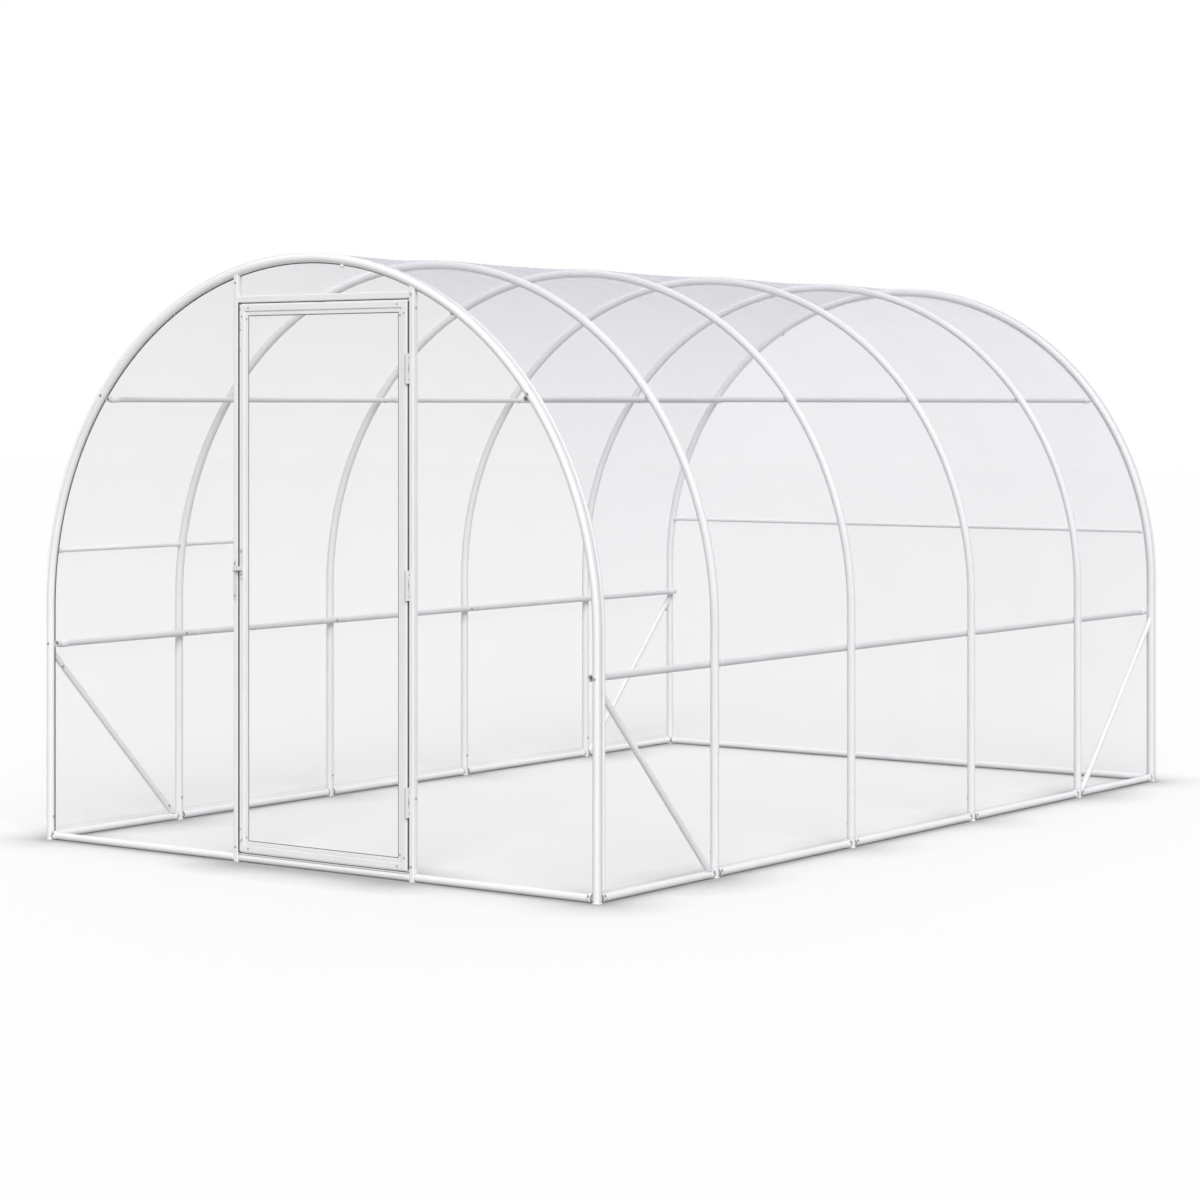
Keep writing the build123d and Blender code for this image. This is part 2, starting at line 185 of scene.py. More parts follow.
def coating(name, colours, grain, roughness, bump, gloss=0.3, metallic=0.0):
    """A finish whose colour drifts between two tones, with a roughness and a fine relief of its own.

    Three noises at rising scales drive the colour, the roughness and the relief; grain holds the
    three scales as noise cells to the metre.
    """
    material = bpy.data.materials.new(name)
    material.use_nodes = True
    nodes, links = material.node_tree.nodes, material.node_tree.links
    shader = nodes["Principled BSDF"]
    shader.inputs["Metallic"].default_value = metallic
    shader.inputs["Specular IOR Level"].default_value = gloss
    place = nodes.new("ShaderNodeTexCoord")
    noises = []
    for scale in grain:
        noise = nodes.new("ShaderNodeTexNoise")
        noise.inputs["Scale"].default_value = scale
        noise.inputs["Detail"].default_value = 4
        links.new(place.outputs["Object"], noise.inputs["Vector"])
        noises.append(noise)
    tones = nodes.new("ShaderNodeValToRGB")
    tones.color_ramp.elements[0].position = 0.3
    tones.color_ramp.elements[0].color = (*colours[0], 1)
    tones.color_ramp.elements[1].position = 0.7
    tones.color_ramp.elements[1].color = (*colours[1], 1)
    links.new(noises[0].outputs["Fac"], tones.inputs["Fac"])
    links.new(tones.outputs["Color"], shader.inputs["Base Color"])
    sheen = nodes.new("ShaderNodeMapRange")
    sheen.inputs["To Min"].default_value = roughness[0]
    sheen.inputs["To Max"].default_value = roughness[1]
    links.new(noises[1].outputs["Fac"], sheen.inputs["Value"])
    links.new(sheen.outputs["Result"], shader.inputs["Roughness"])
    relief = nodes.new("ShaderNodeBump")
    relief.inputs["Strength"].default_value = bump
    relief.inputs["Distance"].default_value = 0.0004
    links.new(noises[2].outputs["Fac"], relief.inputs["Height"])
    links.new(relief.outputs["Normal"], shader.inputs["Normal"])
    return material


def dress(names, material):
    """Gives one finish to the named solids."""
    for name in names:
        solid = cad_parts[name].data
        solid.materials.clear()
        solid.materials.append(material)


# Hoops: six steel tubes bent to a half round on straight legs, with a white baked coating.
# Each is two halves slid together at the crown with a crimped lip, and bolted at its lipped feet.
hoop_names = [f"hoop_{number}" for number in range(1, 7)]
stations = np.array([sum(corner.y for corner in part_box(name)) / 2 for name in hoop_names])
half_width = 1.25
leg_height = 0.86
hoop_radius = 0.015
white_coating = coating(
    "white_coating",
    colours=((0.79, 0.793, 0.797), (0.82, 0.822, 0.826)),
    grain=(9, 45, 400),
    roughness=(0.34, 0.44),
    bump=0.012,
)
zinc = coating(
    "zinc_plate",
    colours=((0.30, 0.305, 0.31), (0.42, 0.42, 0.425)),
    grain=(60, 150, 1500),
    roughness=(0.25, 0.42),
    bump=0.1,
    metallic=0.7,
)
dress(hoop_names, white_coating)


def bolt_heads(name, body, centres, outward, radius, height, finish=zinc):
    """Low domed heads: a flat underside, a short straight rim and a dome, turned about the outward way."""
    centres = np.asarray(centres, float).reshape(-1, 3)
    outward = np.broadcast_to(np.asarray(outward, float), centres.shape)
    outward = outward / np.linalg.norm(outward, axis=1, keepdims=True)
    upright = np.abs(outward[:, 2:3]) > 0.9
    side = np.cross(outward, np.where(upright, (1.0, 0.0, 0.0), (0.0, 0.0, 1.0)))
    side = side / np.linalg.norm(side, axis=1, keepdims=True)
    other = np.cross(outward, side)
    reach = radius * np.array([0, 1, 1, 0.93, 0.72, 0.4, 0])
    rise = height * np.array([-0.2, -0.2, 0.4, 0.66, 0.86, 0.97, 1])
    turn = np.linspace(0, 2 * math.pi, 12, endpoint=False)
    ring = np.cos(turn)[:, None] * side[:, None] + np.sin(turn)[:, None] * other[:, None]
    points = centres[:, None, None] + reach[None, :, None, None] * ring[:, None]
    points = points + rise[None, :, None, None] * outward[:, None, None]
    heads = surface(name, points, closed=(False, True), sharp=35)
    heads.data.materials.append(finish)
    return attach(heads, body)


def swept(name, body, material, slot, paths, across, up, profile):
    """A closed outline carried along each path, drawn across and up from it, its two ends filled."""
    lines = paths[:, :, None] + profile[:, 0:1] * across[:, :, None] + profile[:, 1:2] * up[:, :, None]
    middles = np.broadcast_to(lines.mean(axis=2, keepdims=True), lines.shape)
    lines = np.concatenate([middles[:, :1], lines, middles[:, -1:]], axis=1)
    piece = surface(name, lines, closed=(False, True), sharp=40)
    piece.data.materials.append(material)
    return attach(piece, body)


def outline(width, height, count=16, power=0.4):
    """A rounded rectangle as a superellipse: cosine and sine raised to a power, keeping their signs."""
    turn = np.linspace(0, 2 * math.pi, count, endpoint=False)
    wave = np.stack([np.cos(turn), np.sin(turn)], axis=-1)
    return np.sign(wave) * np.abs(wave) ** power * (width / 2, height / 2)


def rings(name, body, centres, axes, radius, width, lip, finish=white_coating):
    """Thin raised bands round a tube: a low rounded profile turned about the tube's line."""
    centres = np.asarray(centres, float).reshape(-1, 3)
    axes = np.broadcast_to(np.asarray(axes, float), centres.shape)
    side = np.cross(axes, (0.0, 0.0, 1.0))
    side = side / np.linalg.norm(side, axis=1, keepdims=True)
    other = np.cross(axes, side)
    turn = np.linspace(0, 2 * math.pi, 24, endpoint=False)
    spoke = np.cos(turn)[:, None] * side[:, None] + np.sin(turn)[:, None] * other[:, None]
    reach = radius + lip * np.array([-1, 0.6, 1, 1, 0.6, -1])
    shift = width * np.array([-0.5, -0.5, -0.3, 0.3, 0.5, 0.5])
    points = centres[:, None, None] + reach[None, :, None, None] * spoke[:, None]
    points = points + shift[None, :, None, None] * axes[:, None, None]
    bands = surface(name, points, closed=(True, True), sharp=35)
    bands.data.materials.append(finish)
    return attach(bands, body)


def on_hoop(turn, y, reach):
    """A point in a hoop's plane at an angle up from +X and a reach from the half round's middle."""
    turn = np.radians(turn)
    return np.stack([reach * np.cos(turn), y + 0 * turn, leg_height + reach * np.sin(turn)], axis=-1)


leg_bolt_height = 0.085
leg_x, leg_y = np.meshgrid((-half_width, half_width), stations, indexing="ij")
leg_x, leg_y = leg_x.ravel(), leg_y.ravel()
leg_way = np.stack([-np.sign(leg_x), np.zeros_like(leg_x), np.zeros_like(leg_x)], axis=-1)
legs = np.stack([leg_x, leg_y, np.full_like(leg_x, leg_bolt_height)], axis=-1)
bolt_heads("leg_bolts", "tunnel", legs + hoop_radius * leg_way, leg_way, radius=0.0048, height=0.003)

crown = np.full(6, 90.0)
lips_at = on_hoop(crown, stations, half_width)
rings("crown_lips", "tunnel", lips_at, (1, 0, 0), hoop_radius, width=0.006, lip=0.0009)
knob_turn_from_crown = 8
knob_way = (-0.14, -0.3, -0.94)
crown_under = on_hoop(crown[:1] - knob_turn_from_crown, stations[:1], half_width - hoop_radius)
bolt_heads("crown_knob", "tunnel", crown_under, knob_way, 0.0085, 0.012, finish=white_coating)

haunch = np.array([58.0, 120.0, 58.0, 120.0])
haunch_y = np.repeat([stations[0], stations[-1]], 2)
haunch_way = -on_hoop(haunch, 0, 1.0) + (0, 0, leg_height)
haunch_way[:, 1] = np.repeat([-0.4, 0.4], 2)
haunch_way = haunch_way / np.linalg.norm(haunch_way, axis=1, keepdims=True)
haunch_at = on_hoop(haunch, haunch_y, half_width) + hoop_radius * haunch_way
bolt_heads("haunch_bolts", "tunnel", haunch_at, haunch_way, radius=0.0065, height=0.007)


def hoop_path(turn_from, turn_to, y, reach, leg_end):
    """A run along a hoop: part of its half round, ended by a leg where it comes down to the springing."""
    arc = on_hoop(np.linspace(turn_from, turn_to, 61), y, reach)
    first = [(arc[0, 0], y, leg_end)] if turn_from == 0 else [arc[0]]
    last = [(arc[-1, 0], y, leg_end)] if turn_to == 180 else [arc[-1]]
    return np.concatenate([first, arc, last])


def hoop_cord(name, material, slot, runs, radius):
    """A round cord along runs of a hoop, square to the run everywhere."""
    paths = np.array(runs)
    middle = np.where(paths[:, :, 2:3] < leg_height, paths[:, :, 2:3], leg_height)
    out = paths - np.concatenate([np.zeros_like(middle), paths[:, :, 1:2], middle], axis=2)
    out = out / np.linalg.norm(out, axis=2, keepdims=True)
    along = np.broadcast_to((0.0, 1.0, 0.0), paths.shape)
    section = outline(2 * radius, 2 * radius, count=12, power=1.0)
    return swept(name, "tunnel", material, slot, paths, along, out, section)


# Hems: the cover's front hem holds a round rope drawn tight behind the front hoop. A cord grips
# the end walls' film along the inside of both end hoops, white at the back and dark at the front;
# the dark front cord is painted shade along the front hoop's inner edge.
hem_radius = 0.007
hem_reach = half_width + hoop_radius - hem_radius
hem_shift = hoop_radius + hem_radius
hem_end = 0.04
hem_run = hoop_path(0, 180, stations[0] + hem_shift, hem_reach, hem_end)
hoop_cord("hem_rope", white_coating, "tube", [hem_run], hem_radius)
# A dark rubber for the cords, seals and spline: its darkness is painted shade in the gaps and along the edges
# where they sit.
rubber_and_painted_shade = coating(
    "rubber_and_painted_shade",
    colours=((0.13, 0.13, 0.135), (0.17, 0.17, 0.175)),
    grain=(40, 90, 1200),
    roughness=(0.5, 0.65),
    bump=0.1,
)
cord_radius = 0.0022
cord_bite = 0.0016
cord_shift = 0.0045
cord_end = 0.03
cord_reach = half_width - hoop_radius - cord_bite
post_turns = [
    math.degrees(math.acos(x / cord_reach))
    for name in ("right_door_post", "left_door_post")
    for x in (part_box(name)[1].x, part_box(name)[0].x)
]
cord_turns = ((0, post_turns[0]), (post_turns[1], post_turns[2]), (post_turns[3], 180))
cord_runs = [hoop_path(*turns, stations[0] + cord_shift, cord_reach, cord_end) for turns in cord_turns]
# The front cords are dark: painted shade along the hoop's inner edge.
hoop_cord("grip_cords", rubber_and_painted_shade, "tube", cord_runs, cord_radius)
back_run = hoop_path(0, 180, stations[-1] - cord_shift, cord_reach, cord_end)
hoop_cord("back_grip_cord", white_coating, "tube", [back_run], cord_radius)

# Ground rails: lighter coated tube between the feet, with a collar, a zinc washer and an eye bolt's
# head beside each leg. Snap clips of bent strip hold the film's lower edge on the back and left rails.
dress(["left_ground_rail", "right_ground_rail", "front_ground_rail", "back_ground_rail"], white_coating)
rail_radius = 0.0125
rail_height = 0.0145
collar_gap = hoop_radius + 0.010
washer_gap = hoop_radius + 0.002
collar_lift = np.array((0, 0, 0.0015))


def beside_legs(gap):
    """Points on the ground rails' lines at one gap from every leg, along the sides and across the ends."""
    legs_and_ways = [(x, y, way) for x in (-half_width, half_width) for y in stations for way in (-1, 1)]
    sides = np.array([(x, y + way * gap, rail_height) for x, y, way in legs_and_ways])
    sides = sides[(sides[:, 1] > stations[0]) & (sides[:, 1] < stations[-1])]
    end_x = half_width - gap
    ends = np.array([(way * end_x, y, rail_height) for way in (-1, 1) for y in stations[[0, -1]]])
    return sides + collar_lift, ends + collar_lift


collar_width, collar_lip = 0.012, 0.0032
washer_width, washer_lip = 0.0035, 0.0024
side_collars, cross_collars = beside_legs(collar_gap)
rings("side_rail_collars", "tunnel", side_collars, (0, 1, 0), rail_radius, collar_width, collar_lip)
rings("cross_rail_collars", "tunnel", cross_collars, (1, 0, 0), rail_radius, collar_width, collar_lip)
side_washers, cross_washers = beside_legs(washer_gap)
rings("side_rail_washers", "tunnel", side_washers, (0, 1, 0), rail_radius, washer_width, washer_lip, zinc)
rings("cross_rail_washers", "tunnel", cross_washers, (1, 0, 0), rail_radius, washer_width, washer_lip, zinc)
eye_out, eye_up = 0.9, 0.44
eye_reach = rail_radius + 0.0030
eyes = np.concatenate([side_collars, cross_collars])
eye_counts = [len(side_collars), len(cross_collars)]
eye_way = eye_out * np.sign(eyes) * np.repeat([(1, 0, 0), (0, 1, 0)], eye_counts, axis=0)
eye_way = eye_way + (0, 0, eye_up)
bolt_heads("rail_eyes", "tunnel", eyes + eye_reach * eye_way, eye_way, radius=0.0052, height=0.0022)
clip_reach = rail_radius + 0.0012
clip_steps = 25
clip_turn = np.radians(np.linspace(-35, 215, clip_steps))
clip_ring = clip_reach * np.stack([np.cos(clip_turn), np.sin(clip_turn)], axis=-1)
clip_paths, clip_ups, clip_across = [], [], []
for clip_x in (-0.43, -0.01, 0.30, 0.51):
    round_back_rail = clip_ring @ [[0, 1, 0], [0, 0, 1]]
    clip_paths.append(round_back_rail + (clip_x, stations[-1], rail_height))
    clip_ups.append(round_back_rail)
    clip_across.append(np.broadcast_to((1.0, 0.0, 0.0), (clip_steps, 3)))
for clip_y in (0.80, 1.90):
    round_left_rail = clip_ring @ [[-1, 0, 0], [0, 0, 1]]
    clip_paths.append(round_left_rail + (-half_width, clip_y, rail_height))
    clip_ups.append(round_left_rail)
    clip_across.append(np.broadcast_to((0.0, 1.0, 0.0), (clip_steps, 3)))
swept(
    "film_clips",
    "tunnel",
    white_coating,
    "tube",
    np.array(clip_paths),
    np.array(clip_across),
    np.array(clip_ups) / clip_reach,
    outline(width=0.034, height=0.0024),
)

# Waist rails and purlins: grey coated tubes under the hoops in lengths that slide into each other,
# with a lip at each joint, a sleeve at each end and a bolt at each hoop. Their grey is a darker
# copy of the white coating and partly painted shade.
# A darker copy of the white coating: on the rails and purlins it is partly painted shade, on the hinges and
# latch a grey finish.
grey_coating_and_painted_shade = coating(
    "grey_coating_and_painted_shade",
    colours=((0.66, 0.664, 0.67), (0.71, 0.713, 0.718)),
    grain=(9, 45, 400),
    roughness=(0.34, 0.44),
    bump=0.012,
)
dress([f"{side}_{rail}" for side in ("left", "right") for rail in ("waist_rail", "purlin")], grey_coating_and_painted_shade)
joint_shift = 0.070
sleeve_inset = 0.036


def level_line(x, y, z):
    """Points at one place across and one height, at each given station along the tunnel."""
    return np.stack([np.full(len(y), x), y, np.full(len(y), z)], axis=-1)


inner_stations, end_stations = stations[1:-1], stations[[0, -1]]
for name, tube_radius in (("waist_rail", 0.0125), ("purlin", 0.010)):
    for side in ("left", "right"):
        low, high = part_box(f"{side}_{name}")
        middle_x, middle_z = (low.x + high.x) / 2, (low.z + high.z) / 2
        inward = np.array([-middle_x, 0, 0 if name == "waist_rail" else leg_height - middle_z])
        inward = inward / np.linalg.norm(inward)
        bolts = level_line(middle_x, inner_stations, middle_z) + tube_radius * inward
        bolt_heads(f"{side}_{name}_bolts", "tunnel", bolts, inward, radius=0.0055, height=0.004)
        joints = level_line(middle_x, inner_stations + joint_shift, middle_z)
        rings(f"{side}_{name}_lips", "tunnel", joints, (0, 1, 0), tube_radius, width=0.006, lip=0.0008)
        ends = level_line(middle_x, end_stations + (sleeve_inset, -sleeve_inset), middle_z)
        rings(f"{side}_{name}_sleeves", "tunnel", ends, (0, 1, 0), tube_radius, width=0.034, lip=0.0022)
        on_face = level_line(middle_x, end_stations + (-hoop_radius, hoop_radius), middle_z)
        on_face = on_face - (tube_radius + hoop_radius) * inward
        face_ways = ((0, -1, 0), (0, 1, 0))
        bolt_heads(f"{side}_{name}_face_bolts", "tunnel", on_face, face_ways, radius=0.0052, height=0.003)

# Thin rails: slim white coated tubes along the left wall and across the back wall. Clamp collars
# hold them at the hoops.
dress(["left_thin_rail", "back_cross_rail"], white_coating)
low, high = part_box("left_thin_rail")
thin_x, thin_z = (low.x + high.x) / 2, (low.z + high.z) / 2
thin_radius = 0.008
clamp_inset = 0.012
clamp_gap = hoop_radius + 0.014
collar_y = np.array([low.y + clamp_inset, stations[1] - clamp_gap, stations[1] + clamp_gap])
collars = level_line(thin_x, collar_y, thin_z)
rings("thin_rail_collars", "tunnel", collars, (0, 1, 0), thin_radius, width=0.018, lip=0.0022)
low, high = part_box("back_cross_rail")
cross_y = (low.y + high.y) / 2
cross_inset = 0.013
cross_ends = np.array([[low.x + cross_inset, cross_y, thin_z], [high.x - cross_inset, cross_y, thin_z]])
rings("thin_cross_collars", "tunnel", cross_ends, (1, 0, 0), thin_radius, width=0.020, lip=0.0016)

# Braces: sloping tubes with the same white coating in the end bays, which stop the tunnel leaning.
# Each is bolted at its head and at its foot.
brace_names = [f"{side}_{end}_brace" for side in ("left", "right") for end in ("front", "back")]
dress(brace_names, white_coating)
brace_half = 0.011
head_inset, head_drop = 0.035, 0.062
foot_inset, foot_rise = 0.046, 0.034
brace_spots, brace_ways = [], []
for name in brace_names:
    low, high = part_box(name)
    way = 1 if high.y < 0 else -1
    side = 1 if low.x > 0 else -1
    start, end = (low.y, high.y) if way > 0 else (high.y, low.y)
    inner = side * (half_width - brace_half)
    head = (inner, start + way * head_inset, high.z - head_drop)
    foot = (inner, end - way * foot_inset, low.z + foot_rise)
    brace_spots += [head, foot]
    brace_ways += [(-side, 0, 0)] * 2
bolt_heads("brace_bolts", "tunnel", brace_spots, brace_ways, radius=0.005, height=0.004)

# Doorway: square coated posts from the ground to the front hoop, a header between them and a flat
# strip over the sill. Dark rubber seals line the opening; their darkness is painted shade that gives
# the gaps their dark lines.
dress(["left_door_post", "right_door_post", "door_header", "threshold_strip"], white_coating)
left_low, left_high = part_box("left_door_post")
right_low, right_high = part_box("right_door_post")
header_low, header_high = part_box("door_header")
post_front = left_low.y
side_way, depth_way, up_way = (1.0, 0.0, 0.0), (0.0, 1.0, 0.0), (0.0, 0.0, 1.0)


def straight_seal(name, body, start, end, across, up, width, height):
    """A flat strip of the dark rubber from one point to another, its rounded section drawn across and up; its
    darkness is painted shade.
    """
    path = np.linspace(start, end, 24)[None]
    frames = [np.broadcast_to(way, path.shape) for way in (across, up)]
    return swept(name, body, rubber_and_painted_shade, "tube", path, *frames, outline(width, height))


# Painted shade: a dark strip behind the gap beside the left post.
seal_x, seal_y = left_high.x + 0.001, (left_low.y + left_high.y) / 2
seal_foot = 0.034
straight_seal(
    "post_seal",
    "tunnel",
    (seal_x, seal_y, seal_foot),
    (seal_x, seal_y, header_low.z),
    side_way,
    depth_way,
    width=0.002,
    height=0.020,
)
# Painted shade: a dark strip hanging behind the header, over part of the gap above the door.
header_seal_y, header_seal_z = header_high.y + 0.001, header_low.z + 0.004
straight_seal(
    "header_seal",
    "tunnel",
    (left_high.x, header_seal_y, header_seal_z),
    (right_low.x, header_seal_y, header_seal_z),
    depth_way,
    up_way,
    width=0.002,
    height=0.014,
)
# Painted shade: a thin dark strip on the threshold, seen through the gap under the door.
sill_low, sill_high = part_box("threshold_strip")
sill_y, sill_seal_z = (sill_low.y + sill_high.y) / 2, sill_high.z + 0.0004
straight_seal(
    "sill_seal",
    "tunnel",
    (sill_low.x, sill_y, sill_seal_z),
    (sill_high.x, sill_y, sill_seal_z),
    depth_way,
    up_way,
    width=0.018,
    height=0.0008,
)
left_x, right_x = (left_low.x + left_high.x) / 2, (right_low.x + right_high.x) / 2
post_half = 0.0125
post_middle_y = post_front + post_half
top_drop, foot_level = 0.030, 0.052
high_level, low_level = 1.93, 0.28
post_bolts = [
    (left_x, post_front, left_high.z - top_drop),
    (right_x, post_front, right_high.z - top_drop),
    (right_x, post_front, foot_level),
    (left_x, post_front, foot_level),
    (right_high.x, post_middle_y, high_level),
    (right_high.x, post_middle_y, low_level),
    (left_low.x, post_middle_y, high_level),
    (left_low.x, post_middle_y, low_level),
]
post_ways = [(0, -1, 0)] * 4 + [(1, 0, 0)] * 2 + [(-1, 0, 0)] * 2
bolt_heads("post_bolts", "tunnel", post_bolts, post_ways, radius=0.0042, height=0.003)

# Door frame: mitred square tube with a stepped inner strip, screwed together at the corners.
# A dark rubber strip seals its hinge edge, and a dark rubber spline holds the film in the inner strip; their
# darkness is painted shade in the gap and along the strip's edge.
dress(["door_stiles", "door_rails", "door_strip_stiles", "door_strip_rails"], white_coating)
frame_low, frame_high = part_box("door_stiles")
strip_low, strip_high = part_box("door_strip_stiles")
frame_half = 0.0125
corner_step = 0.030
strip_step_x, strip_step_z = 0.0205, 0.038
corner_x = np.array([frame_low.x + frame_half, frame_high.x - frame_half])
corner_z = np.array([frame_low.z + frame_half, frame_high.z - frame_half])
screw_x, screw_z = np.meshgrid(corner_x, corner_z, indexing="ij")
screw_x, screw_z = screw_x.ravel(), screw_z.ravel()
toward_x = np.where(screw_x < screw_x.mean(), 1, -1)
toward_z = np.where(screw_z < screw_z.mean(), 1, -1)
on_stile = np.stack([screw_x, np.full(4, frame_low.y), screw_z + corner_step * toward_z], axis=-1)
on_rail = np.stack([screw_x + corner_step * toward_x, np.full(4, frame_low.y), screw_z], axis=-1)
strip_x, strip_z = screw_x + strip_step_x * toward_x, screw_z + strip_step_z * toward_z
on_strip = np.stack([strip_x, np.full(4, strip_low.y), strip_z], axis=-1)
frame_screws = np.concatenate([on_stile, on_rail, on_strip])
bolt_heads("frame_screws", "door", frame_screws, (0, -1, 0), radius=0.0034, height=0.0018)
edge_levels = np.array([0.072, 0.115, 1.794, 1.866, 1.887, 1.937])
edge_inset = 0.0062
edge_screws = np.stack([np.full(6, frame_low.x + edge_inset), np.full(6, frame_low.y), edge_levels], axis=-1)
bolt_heads("edge_screws", "door", edge_screws, (0, -1, 0), radius=0.0028, height=0.0014)
# Painted shade: the dark strip shows in the gap between the door and the post.
edge_x, edge_y = frame_high.x + 0.0008, frame_low.y + 0.0115
edge_end_gap = 0.004
straight_seal(
    "door_edge_seal",
    "door",
    (edge_x, edge_y, frame_low.z + edge_end_gap),
    (edge_x, edge_y, frame_high.z - edge_end_gap),
    side_way,
    depth_way,
    width=0.0016,
    height=0.015,
)
# Painted shade: the dark spline gives the inner strip's edge its dark line.
strip_width, spline_radius = 0.014, 0.0013
spline_inset = strip_width + spline_radius
spline_y = strip_low.y + 0.0016
left_line, right_line = strip_low.x + spline_inset, strip_high.x - spline_inset
low_line, high_line = strip_low.z + spline_inset, strip_high.z - spline_inset
spline_corners = [
    (left_line, low_line),
    (right_line, low_line),
    (right_line, high_line),
    (left_line, high_line),
]
spline_paths, spline_across = [], []
for corner, following in zip(spline_corners, spline_corners[1:] + spline_corners[:1]):
    line = np.linspace((corner[0], spline_y, corner[1]), (following[0], spline_y, following[1]), 24)
    way = (line[-1] - line[0]) / np.linalg.norm(line[-1] - line[0])
    spline_paths.append(line)
    spline_across.append(np.broadcast_to(np.cross(way, depth_way), line.shape))
swept(
    "film_spline",
    "door",
    rubber_and_painted_shade,
    "tube",
    np.array(spline_paths),
    np.array(spline_across),
    np.broadcast_to(depth_way, (4, 24, 3)),
    outline(2 * spline_radius, 2 * spline_radius, count=12, power=1.0),
)

# Hinges: three grey coated steel butt hinges, with knuckles that turn on a pin. Each leaf is held
# by three screws.
dress(["post_hinge_leaves", "door_hinge_leaves"], grey_coating_and_painted_shade)
leaf_low, leaf_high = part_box("post_hinge_leaves")
door_leaf_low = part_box("door_hinge_leaves")[0]
leaf_front = post_front - 0.0025
hinge_half = 0.051
screw_spacing = 0.036
screw_inset = 0.0033
hinge_levels = np.array([leaf_low.z + hinge_half, (leaf_low.z + leaf_high.z) / 2, leaf_high.z - hinge_half])
screw_levels = (hinge_levels[:, None] + (-screw_spacing, 0, screw_spacing)).ravel()


def leaf_screws(name, body, x):
    """Screw heads down one side of the hinges, three to each leaf."""
    spots = np.stack([np.full(9, x), np.full(9, leaf_front), screw_levels], axis=-1)
    return bolt_heads(name, body, spots, (0, -1, 0), radius=0.0022, height=0.0012)


leaf_screws("post_hinge_screws", "tunnel", leaf_high.x - screw_inset)
leaf_screws("door_hinge_screws", "door", door_leaf_low.x + screw_inset)

# Latch: a small turn catch of grey coated steel on the door, which reaches over a plate on the post.
# Both are held by two screws.
dress(["door_latch", "latch_keeper"], grey_coating_and_painted_shade)
latch_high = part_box("door_latch")[1]
keeper_low, keeper_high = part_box("latch_keeper")
latch_x = latch_high.x - 0.0075
keeper_x = (keeper_low.x + keeper_high.x) / 2
plate_y = keeper_low.y
latch_screws = [(latch_x, plate_y, level) for level in (1.089, 1.008)]
keeper_screws = [(keeper_x, plate_y, level) for level in (1.047, 0.934)]
bolt_heads("latch_screws", "door", latch_screws, (0, -1, 0), radius=0.0042, height=0.0018)
bolt_heads("keeper_screws", "tunnel", keeper_screws, (0, -1, 0), radius=0.0042, height=0.0018)


# End walls: clear film stretched flat between the hoop, the posts and the ground rail,
# with a little slack between them. It is a tough garden film, clear with a cool tint.
def clear_film(name, veil):
    """A thin see-through film that takes a set share of the light square on.

    Seen at a slant the way through it is longer, so what it lets through is the straight share
    raised to one over the cosine of the slant inside the film, as a refraction of 1.5 bends it.
    Small waves lie over each other towards the outline, which adds to the way there. The inner
    side is painted paler than the outer, painted light that stands for daylight coming through
    from the outer side. The veil attribute makes hems and seams denser, and the roof denser
    towards its crown.
    """
    material = bpy.data.materials.new(name)
    material.use_nodes = True
    nodes, links = material.node_tree.nodes, material.node_tree.links
    shader = nodes["Principled BSDF"]
    outer_tint, inner_tint_painted_light = (0.22, 0.212, 0.29, 1), (0.80, 0.79, 0.86, 1)
    refraction = 1.5
    wave_way, wave_power = 4.8, 4.3
    shader.inputs["Roughness"].default_value = 0.28
    shader.inputs["Specular IOR Level"].default_value = 0.02
    # Painted light: back faces take the paler inner colour, standing for daylight coming through the film.
    sides = nodes.new("ShaderNodeNewGeometry")
    tint = nodes.new("ShaderNodeMix")
    tint.data_type = "RGBA"
    tint.inputs["A"].default_value = outer_tint
    tint.inputs["B"].default_value = inner_tint_painted_light
    links.new(sides.outputs["Backfacing"], tint.inputs["Factor"])
    links.new(tint.outputs["Result"], shader.inputs["Base Color"])
    hem = nodes.new("ShaderNodeAttribute")
    hem.attribute_name = "veil"
    sight = nodes.new("ShaderNodeLayerWeight")
    sight.inputs["Blend"].default_value = 0.5

    def worked_out(operation, first, second):
        """One sum of the film's own, from sockets or plain numbers."""
        node = nodes.new("ShaderNodeMath")
        node.operation = operation
        for socket, value in zip(node.inputs, (first, second)):
            if isinstance(value, (int, float)):
                socket.default_value = value
            else:
                links.new(value, socket)
        return node.outputs[0]

    bend = 1 / refraction**2
    square = worked_out("POWER", worked_out("SUBTRACT", 1, sight.outputs["Facing"]), 2)
    inside = worked_out("ADD", worked_out("MULTIPLY", square, bend), 1 - bend)
    clear = worked_out("SUBTRACT", 1 - veil, hem.outputs["Fac"])
    wave_share = worked_out("POWER", sight.outputs["Facing"], wave_power)
    straight_way = worked_out("POWER", inside, -0.5)
    way = worked_out("ADD", straight_way, worked_out("MULTIPLY", wave_share, wave_way))
    let_through = worked_out("POWER", clear, way)
    links.new(worked_out("SUBTRACT", 1, let_through), shader.inputs["Alpha"])
    place = nodes.new("ShaderNodeTexCoord")
    stretch = nodes.new("ShaderNodeMapping")
    stretch.inputs["Scale"].default_value = (1.6, 1.6, 0.5)
    folds = nodes.new("ShaderNodeTexNoise")
    folds.inputs["Scale"].default_value = 2.6
    folds.inputs["Detail"].default_value = 3
    links.new(place.outputs["Object"], stretch.inputs["Vector"])
    links.new(stretch.outputs["Vector"], folds.inputs["Vector"])
    relief = nodes.new("ShaderNodeBump")
    relief.inputs["Strength"].default_value = 0.5
    relief.inputs["Distance"].default_value = 0.05
    links.new(folds.outputs["Fac"], relief.inputs["Height"])
    links.new(relief.outputs["Normal"], shader.inputs["Normal"])
    return material


